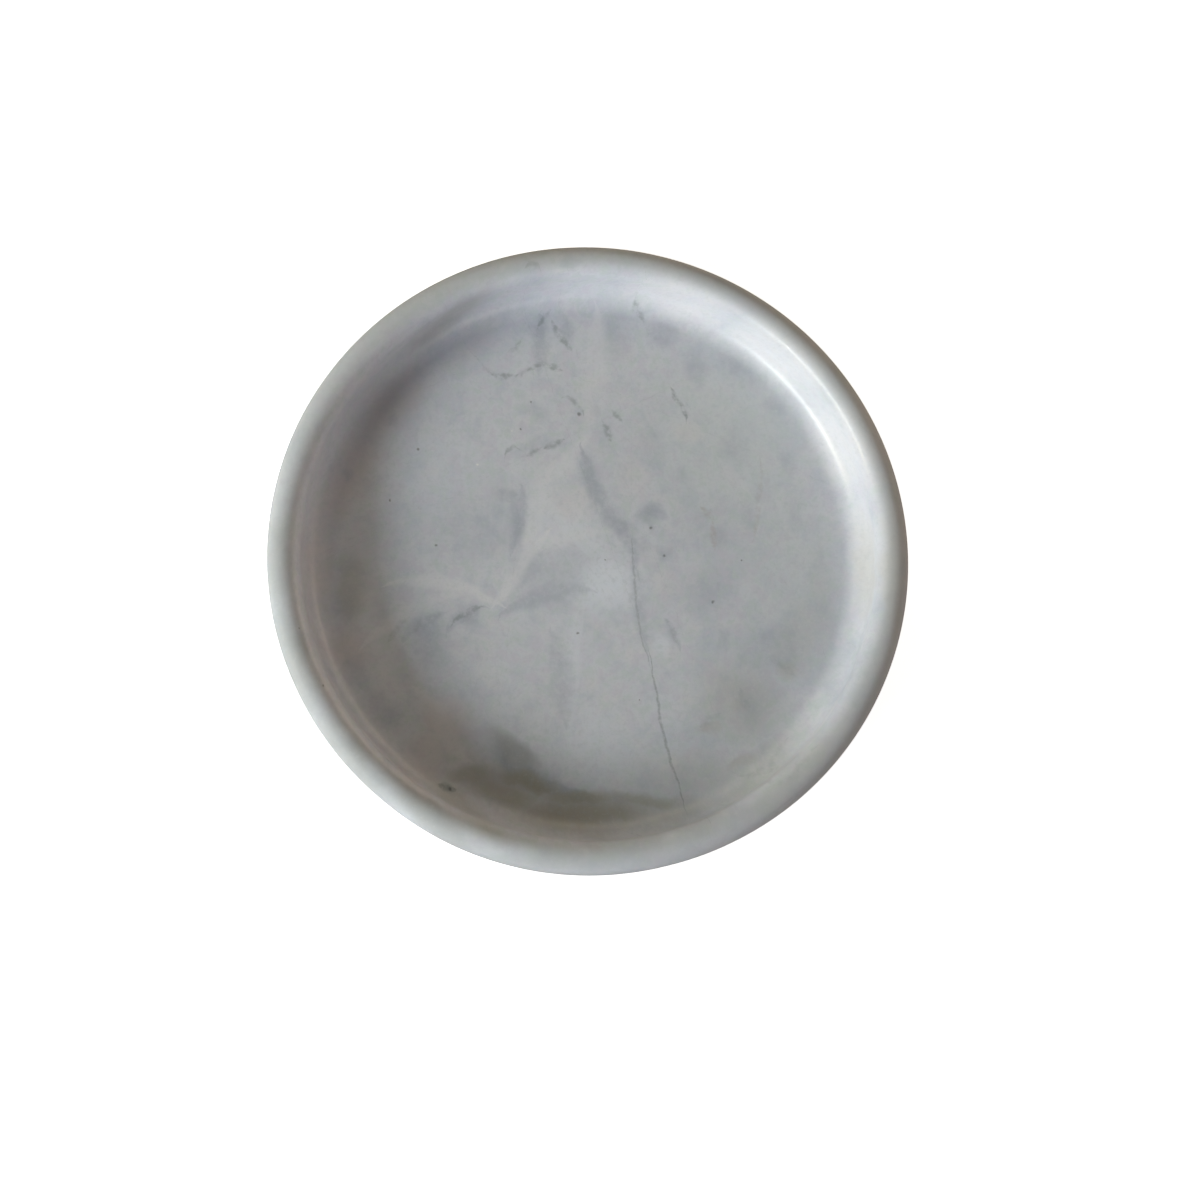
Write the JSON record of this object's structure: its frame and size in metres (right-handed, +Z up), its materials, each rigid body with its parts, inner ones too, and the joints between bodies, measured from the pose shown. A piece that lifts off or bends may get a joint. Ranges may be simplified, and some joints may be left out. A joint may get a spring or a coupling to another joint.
{
  "type": "jewelry plate",
  "caption": "Round shallow marble plate for rings and trinkets, with a flat floor, a cove and a thick full-round rim, standing on felt pads under its flat base.",
  "frame": {"origin": "on the plate's axis, at the height of the surface that the felt pads stand on", "axes": "+Z up along the plate's axis, out of its open top; -Y is the side at the bottom of the picture"},
  "size_m": [0.18, 0.18, 0.0273],
  "materials": {
    "marble": "satin",
    "felt": "matte"
  },
  "bodies": {
    "root": {"marble_dish": "marble", "felt_pad_back_right": "felt", "felt_pad_back_left": "felt", "felt_pad_front_left": "felt", "felt_pad_front_right": "felt"}
  },
  "joints": []
}
